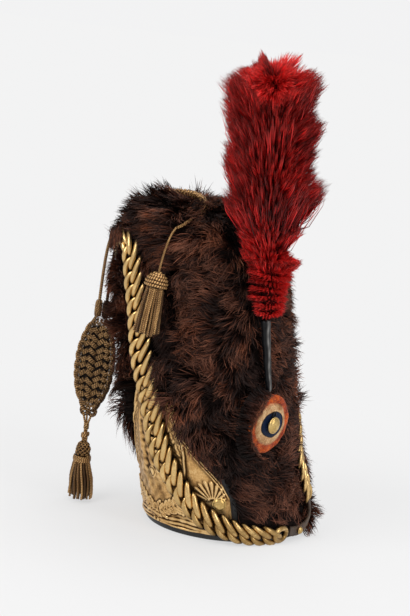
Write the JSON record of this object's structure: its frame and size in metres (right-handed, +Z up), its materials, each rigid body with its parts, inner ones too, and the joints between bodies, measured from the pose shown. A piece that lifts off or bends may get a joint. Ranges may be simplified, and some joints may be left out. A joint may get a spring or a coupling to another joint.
{
  "type": "fur cap",
  "caption": "Tall full-dress fur cap leaning forward over an embossed brass plate, with a curb chin chain, painted cockade, red plume, plaited flounder and tassels.",
  "frame": {"origin": "under the middle of the cap and plume's own box, at the level of the rim that it stands on", "axes": "+Z up, the front faces -Y, the wearer's left is +X"},
  "size_m": [0.2821, 0.3167, 0.548],
  "materials": {
    "body_leather": "black leather body, worn satin at the rim",
    "dark_fur": "long dark brown fur, nearly black, with reddish tips and swirling tufts",
    "embossed_brass": "aged tan-gold embossed brass, brighter on the raised edges",
    "chain_brass": "polished old brass, dark in the hollows",
    "strap_leather": "brown leather, worn at the edges",
    "cockade_paint": "painted pressed disc, orange-red outside, cream ring, navy middle, crackled",
    "gilt_button": "gilt domed button",
    "stem_lacquer": "glossy black lacquered sheath",
    "plume_red": "bright red to crimson hair with dark streaks",
    "olive_cord": "olive-brown plaited metal-thread cord",
    "gold_bullion": "ochre-gold twisted bullion thread, slightly metallic"
  },
  "bodies": {
    "root": {"shell": "body_leather", "front_plate": "embossed_brass", "chain_rim": "chain_brass", "chain_plate": "chain_brass", "chain_front": "chain_brass", "chain_right": "chain_brass", "chain_back": "chain_brass", "chain_left": "chain_brass", "chain_strap": "strap_leather", "strap_stud": "chain_brass", "side_boss": "chain_brass", "cockade": "cockade_paint", "cockade_button": "gilt_button", "plume_stem": "stem_lacquer", "plume": "plume_red", "top_braid": "olive_cord", "fur_cover": "dark_fur", "front_cord": "gold_bullion", "front_tassel_head": "gold_bullion", "front_tassel_skirt": "gold_bullion", "flounder_cord_a": "olive_cord", "flounder_cord_b": "olive_cord", "flounder_neck_a": "gold_bullion", "flounder_neck_b": "gold_bullion", "flounder": "olive_cord", "flounder_drop": "olive_cord", "flounder_tassel_head": "gold_bullion", "flounder_tassel_skirt": "olive_cord"}
  },
  "joints": []
}
